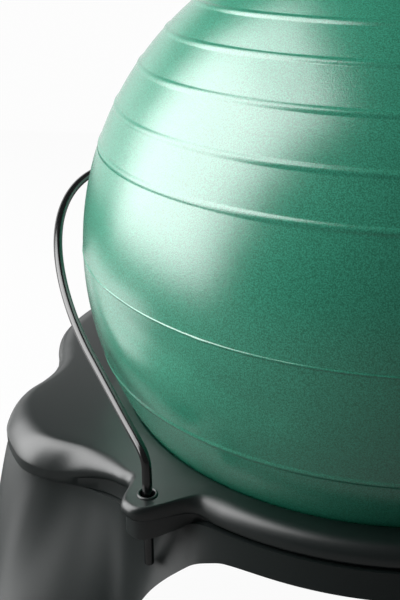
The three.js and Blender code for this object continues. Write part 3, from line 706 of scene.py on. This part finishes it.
def black_moulding(name, ior, glossy, dull):
    plastic, tree, shader = start_material(name)
    place = surface_point(tree)
    speckle = add_node(tree, "ShaderNodeTexNoise", {
        "Vector": place, "Scale": 1400, "Detail": 2,
    }).outputs["Fac"]
    cloudy = add_node(tree, "ShaderNodeTexNoise", {"Vector": place, "Scale": 9}).outputs["Fac"]
    feed(tree, shader, {
        "Base Color": two_tones(tree, speckle, black_dark, black_pale, dark_end=0.3, pale_end=0.7),
        "Roughness": vary_gloss(tree, cloudy, glossy, dull),
        "Normal": relief(tree, speckle, strength=0.12, depth=0.0002),
        "IOR": ior,
    })
    return plastic


ring_black = black_moulding("satin_black_plastic", ior=2.0, glossy=0.30, dull=0.39)
ring.data.materials.append(ring_black)
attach(ring, "base")
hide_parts("seat_ring")

# Legs: four injection-moulded shells of black plastic, more matt than the ring, one to a quarter.
# Each has half of an apron on either side, a flared foot between them, a caster boss and four
# ribs inside, and a flat roof that is screwed up under the ring.
apron_depth = 0.022
apron_clearance = 0.0003
shell_wall = 0.0034
roof_wall = 0.0034
rail_inner = ring_radius - 0.015
leg_reach = ring_radius + 0.116
foot_height = 0.070
face_recess = 0.006
leg_columns = 180
leg_rows = 16
caster_angle = 54.246
caster_reach = leg_reach - 0.058942
boss_bore = 0.0086
boss_radius = 0.012
boss_lift = 0.0004
boss_top = 0.1
boss_rows = 10
boss_segments = 48
boss_least_wall = 0.0002
boss_overlap = 0.001
leg_rib_thickness = 0.0024
leg_rib_inset = 0.0004
leg_rib_least = 0.001
leg_rib_longest = 0.05
leg_rib_turns = (45, 135, 225, 315)
gusset_reach = 0.018
apron_bottom = skirt_bottom - apron_clearance - apron_depth
foot_drop = apron_bottom - foot_height

# Rows of the legs: azimuth of the top edge and of the low edge under it, then shares of the low
# edge's reach, its drop and its inner reach, and the bow of the face between the two edges.
low_azimuth, low_reach, low_drop, low_inner, face_bow = 1, 2, 3, 4, 5
leg_shares = [
    (0, 0, 0.035, 0, 0.06, 1.33), (20, 20, 0.035, 0, 0.06, 1.33), (27, 27, 0.05, 0.01, 0.06, 1.33),
    (30, 30, 0.07, 0.06, 0.07, 1.33), (33, 32.3, 0.09, 0.12, 0.09, 1.33),
    (36, 34.2, 0.11, 0.21, 0.11, 1.33), (39, 37, 0.165, 0.37, 0.15, 1.33),
    (42, 39.2, 0.225, 0.54, 0.2, 1.33), (45, 40.6, 0.3, 0.73, 0.27, 1.33),
    (48, 41.6, 0.39, 0.91, 0.35, 1.33), (50.5, 43.2, 0.475, 1, 0.38, 1.33),
    (53.5, 47.5, 0.655, 1, 0.3, 1.45), (56, 51, 0.81, 1, 0.2, 1.5), (59, 54.5, 0.93, 1, 0.18, 1.5),
    (63, 58.5, 0.985, 1, 0.24, 1.22), (68, 63.5, 0.97, 1, 0.45, 0.9),
    (72, 67.5, 0.93, 0.97, 0.58, 0.85), (75, 70.5, 0.86, 0.86, 0.57, 0.85),
    (78, 74, 0.76, 0.65, 0.52, 0.9), (81, 78, 0.66, 0.41, 0.46, 1), (84, 82, 0.57, 0.22, 0.4, 1),
    (87, 86, 0.51, 0.1, 0.36, 1), (90, 90, 0.49, 0.06, 0.34, 1),
]
recess_shares = [
    (0, -0.16), (40, -0.16), (46, -0.05), (52, 0.2), (58, 0.5), (63, 0.55), (68, 0.3), (73, 0.08),
    (90, 0.08),
]


def inset_plan(points, distance):
    moved = []
    for i, point in enumerate(points):
        along = points[min(i + 1, len(points) - 1)] - points[max(i - 1, 0)]
        if i == 0:
            along = Vector((-1, 0, 0))
        if i == len(points) - 1:
            along = Vector((0, 1, 0))
        along.z = 0
        along.normalize()
        inward = Vector((along.y, -along.x, 0))
        if inward.dot(point) > 0:
            inward.negate()
        moved.append(point + inward * distance[i])
    return moved


def stiffen(shell):
    points = [point.co for point in shell.data.vertices]
    hull = BVHTree.FromPolygons(points, [face.vertices for face in shell.data.polygons])
    boss_height = boss_top - foot_height - boss_lift
    levels = []
    for k in range(boss_rows + 1):
        height = foot_height + boss_lift + boss_height * k / boss_rows
        levels.append(polar(caster_angle, caster_reach, 0) + Vector((0, 0, height)))

    def room_for(middle, run, most):
        hit = hull.ray_cast(middle, run, most)[3]
        return min(hit + boss_overlap, most) if hit else most

    outside, bore = [], []
    spokes = [polar(360 * k / boss_segments, 1, 0) for k in range(boss_segments)]
    for middle in levels:
        least = boss_bore + boss_least_wall
        reaches = [max(room_for(middle, run, boss_radius), least) for run in spokes]
        outside.append([middle + run * reach for run, reach in zip(spokes, reaches)])
        bore.append([middle + run * boss_bore for run in spokes])
    inner_parts = [skin("boss", outside + list(reversed(bore)), closed=True)]
    for turn in leg_rib_turns:
        run = polar(caster_angle + turn, 1, 0)
        across = Vector((run.y, -run.x, 0)) * leg_rib_thickness / 2
        walled = all(room_for(middle, run, leg_rib_longest) < leg_rib_longest for middle in levels)
        longest = leg_rib_longest if walled else gusset_reach
        rows = []
        for middle in levels:
            near = middle + run * (boss_bore + leg_rib_inset)
            far = middle + run * max(room_for(middle, run, longest), boss_bore + leg_rib_least)
            rows.append([near - across, far - across, far + across, near + across])
        inner_parts.append(skin("rib", rows, capped=True))
    work = bmesh.new()
    for piece in [shell] + inner_parts:
        work.from_mesh(piece.data)
    work.to_mesh(shell.data)
    work.free()
    for piece in inner_parts:
        bpy.data.objects.remove(piece)


def leg_shell(name, side, front):
    azimuths = [90 * k / leg_columns for k in range(leg_columns + 1)]
    roof_top = [skirt_height(a, front) - apron_clearance for a in azimuths]
    under_ring = [polar(a, edge_reach(a, front), z) for a, z in zip(azimuths, roof_top)]
    recesses = [face_recess * read_table(recess_shares, a) for a in azimuths]
    outer_top = inset_plan(under_ring, recesses)
    outer_low, inner_low = [], []
    overhang = leg_reach - ring_radius
    for a in azimuths:
        azimuth, reach, drop, inner = [
            read_table(leg_shares, a, column)
            for column in (low_azimuth, low_reach, low_drop, low_inner)
        ]
        height = apron_bottom - foot_drop * min(max(drop, 0), 1)
        outer_low.append(polar(azimuth, ring_radius + overhang * reach, height))
        inner_low.append(polar(azimuth, rail_inner + overhang * inner, height))
    walls = [shell_wall] * len(azimuths)
    hollow_top = inset_plan(outer_top, walls)
    hollow_low = inset_plan(outer_low, walls)
    loops = []
    for i, a in enumerate(azimuths):
        loop = []
        bow = read_table(leg_shares, a, face_bow)
        fall = outer_low[i].z - outer_top[i].z
        for k in range(leg_rows + 1):
            t = k / leg_rows
            point = outer_top[i].lerp(outer_low[i], t ** bow)
            point.z = outer_top[i].z + fall * t
            loop.append(point)
        for k in range(leg_rows, -1, -1):
            t = k / leg_rows
            point = hollow_top[i].lerp(hollow_low[i], t ** bow)
            point.z = outer_top[i].z - roof_wall + (fall + roof_wall) * t
            loop.append(point)
        loop.append(polar(a, rail_inner, roof_top[i] - roof_wall))
        loop.append(polar(a, rail_inner, roof_top[i]))
        loops.append(loop)
    shell = skin(name, loops, capped=True)
    stiffen(shell)
    shell.data.transform(Matrix.Diagonal((side, 1 if front else -1, 1, 1)))
    if side * (1 if front else -1) < 0:
        shell.data.flip_normals()
    return shell


leg_black = black_moulding("matt_black_plastic", ior=1.7, glossy=0.40, dull=0.50)
for end, front in (("front", True), ("rear", False)):
    for hand, side in (("left", 1), ("right", -1)):
        leg = leg_shell(f"leg_shell_{end}_{hand}", side, front)
        smooth_by_angle(leg, moulding_crease)
        leg.data.transform(chair_axis)
        leg.data.materials.append(leg_black)
        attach(leg, "base")
        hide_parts(f"leg_{end}_{hand}")

# Hoop: one round steel bar, bent cold and lacquered gloss black. Its feet stand in the ears and
# show below them, and it rises round both sides of the ball to a level bow behind it.
foot_length = 0.064
rise_height = 0.005
knee_shift = Vector((-0.0239, 0.0295, 0.0511))
climb_heading = math.radians(38.6)
climb_slope = math.radians(27.2)
climb_length = 0.0544
bow_radius = 0.290
bow_start = math.radians(18.6)
bow_height = ball_centre_height + 0.0282
rise_pull = 0.0334
knee_pull = 0.0446
climb_pull = 0.074
bow_pull = 0.101
knee_steps = 24
climb_steps = 6
side_steps = 40
bow_steps = 80
rod_segments = 32
rod_chamfer = 0.0008
rod_crease = 40
lacquer_black = (0.006, 0.006, 0.006, 1)


def curve_between(a, b, c, d, steps):
    points = []
    for k in range(1, steps + 1):
        t = k / steps
        s = 1 - t
        points.append(a * s ** 3 + b * 3 * s * s * t + c * 3 * s * t * t + d * t ** 3)
    return points


foot = Vector((ear.x, ear.y, deck_height - foot_length))
rise = Vector((ear.x, ear.y, deck_height + rise_height))
knee = ear + knee_shift
climb = Vector((-math.sin(climb_heading) * math.cos(climb_slope),
                math.cos(climb_heading) * math.cos(climb_slope), math.sin(climb_slope)))
climb_end = knee + climb * climb_length
bow_end = Vector((-bow_radius * math.cos(bow_start), bow_radius * math.sin(bow_start), bow_height))
bow_ahead = Vector((math.sin(bow_start), math.cos(bow_start), 0))
left_line = [foot, foot.lerp(rise, 0.5), rise]
left_line += curve_between(
    rise, rise + Vector((0, 0, rise_pull)), knee - climb * knee_pull, knee, knee_steps)
left_line += [knee.lerp(climb_end, k / climb_steps) for k in range(1, climb_steps + 1)]
left_line += curve_between(
    climb_end, climb_end + climb * climb_pull, bow_end - bow_ahead * bow_pull, bow_end, side_steps)
bow_line = []
for k in range(1, bow_steps):
    turn = math.pi - bow_start - (math.pi - 2 * bow_start) * k / bow_steps
    bow_line.append(Vector((bow_radius * math.cos(turn), bow_radius * math.sin(turn), bow_end.z)))
right_line = [Vector((-point.x, point.y, point.z)) for point in reversed(left_line)]


def swept_bar(name, points, radius, segments, chamfer):
    rounds = []
    across = Vector((1, 0, 0))
    for i, point in enumerate(points):
        ahead = (points[min(i + 1, len(points) - 1)] - points[max(i - 1, 0)]).normalized()
        across = (across - ahead * across.dot(ahead)).normalized()
        up = ahead.cross(across)
        spokes = []
        for k in range(segments):
            turn = 2 * math.pi * k / segments
            spokes.append(across * math.cos(turn) + up * math.sin(turn))
        rounds.append((point, ahead, spokes))
    point, ahead, spokes = rounds[0]
    rows = [[point + spoke * (radius - chamfer) for spoke in spokes],
            [point + spoke * radius + ahead * chamfer for spoke in spokes]]
    for point, ahead, spokes in rounds[1:-1]:
        rows.append([point + spoke * radius for spoke in spokes])
    point, ahead, spokes = rounds[-1]
    rows.append([point + spoke * radius - ahead * chamfer for spoke in spokes])
    rows.append([point + spoke * (radius - chamfer) for spoke in spokes])
    return skin(name, rows, capped=True)


hoop_line = left_line + bow_line + right_line
hoop = swept_bar("lacquered_hoop", hoop_line, rod_radius, rod_segments, rod_chamfer)
smooth_by_angle(hoop, rod_crease)
hoop.data.transform(chair_axis)
lacquer, tree, shader = start_material("black_lacquer")
wipe = add_node(tree, "ShaderNodeTexNoise", {"Vector": surface_point(tree), "Scale": 60})
feed(tree, shader, {
    "Base Color": lacquer_black,
    "Roughness": vary_gloss(tree, wipe.outputs["Fac"], glossy=0.10, dull=0.20),
    "IOR": 2.1,
})
hoop.data.materials.append(lacquer)
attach(hoop, "hoop")
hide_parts("hoop")

# Screws: two zinc-plated pan-head screws to a leg, driven from below through the leg's roof into
# posts under the ring.
corners = ("front_left", "front_right", "rear_left", "rear_right")
zinc_dark = (0.46, 0.48, 0.50)
zinc_pale = (0.64, 0.65, 0.65)
screw_rounding = 0.0004
zinc, tree, shader = start_material("zinc_plating")
place = surface_point(tree)
plating = add_node(tree, "ShaderNodeTexNoise", {
    "Vector": place, "Scale": 90, "Detail": 4,
}).outputs["Fac"]
turning = add_node(tree, "ShaderNodeMapping", {"Vector": place, "Scale": (1, 1, 30)})
tool_marks = add_node(tree, "ShaderNodeTexNoise", {
    "Vector": turning.outputs["Vector"], "Scale": 160,
}).outputs["Fac"]
feed(tree, shader, {
    "Base Color": two_tones(tree, plating, zinc_dark, zinc_pale, dark_end=0.3, pale_end=0.7),
    "Metallic": 1,
    "Roughness": vary_gloss(tree, tool_marks, glossy=0.22, dull=0.42),
    "Normal": relief(tree, tool_marks, strength=0.15, depth=0.00005),
})
for corner in corners:
    for number in (1, 2):
        dress(f"screw_{corner}_{number}", zinc, screw_rounding)

# Sockets: a flanged steel sleeve pressed into the boss in each foot, in which a caster's stem
# turns. Zinc plated like the screws.
socket_rounding = 0.0003
for corner in corners:
    dress(f"socket_{corner}", zinc, socket_rounding)

# Casters: four twin-wheel casters of black nylon. A zinc-plated stem stands in the hood, a steel
# axle lies across it, and a wheel turns on each end of the axle outside the hood's rib.
hood_dark = (0.020, 0.021, 0.022)
hood_pale = (0.030, 0.032, 0.034)
wheel_dark = (0.012, 0.012, 0.014)
wheel_pale = (0.026, 0.026, 0.028)
stem_rounding = 0.0004
axle_rounding = 0.0003
hood_rounding = 0.0005
wheel_rounding = 0.0006
nylon, tree, shader = start_material("hood_nylon")
pebble = add_node(tree, "ShaderNodeTexVoronoi", {
    "Vector": surface_point(tree), "Scale": 1300,
}).outputs["Distance"]
feed(tree, shader, {
    "Base Color": two_tones(tree, pebble, hood_dark, hood_pale),
    "Roughness": 0.46,
    "Normal": relief(tree, pebble, strength=0.2, depth=0.0001),
})
wheel_nylon, tree, shader = start_material("wheel_nylon")
scuff = add_node(tree, "ShaderNodeTexNoise", {
    "Vector": surface_point(tree), "Scale": 130, "Detail": 5,
}).outputs["Fac"]
feed(tree, shader, {
    "Base Color": two_tones(tree, scuff, wheel_dark, wheel_pale, dark_end=0.35, pale_end=0.75),
    "Roughness": vary_gloss(tree, scuff, glossy=0.32, dull=0.52),
})
for corner in corners:
    dress(f"caster_stem_{corner}", zinc, stem_rounding)
    dress(f"caster_axle_{corner}", zinc, axle_rounding)
    dress(f"caster_hood_{corner}", nylon, hood_rounding)
    for wheel in ("a", "b"):
        dress(f"wheel_{corner}_{wheel}", wheel_nylon, wheel_rounding)

# Brake levers: a nylon pedal on its own barrel at the back of each front caster's hood, pressed
# down with the toe.
lever_rounding = 0.0006
for hand in ("left", "right"):
    dress(f"brake_lever_front_{hand}", nylon, lever_rounding)
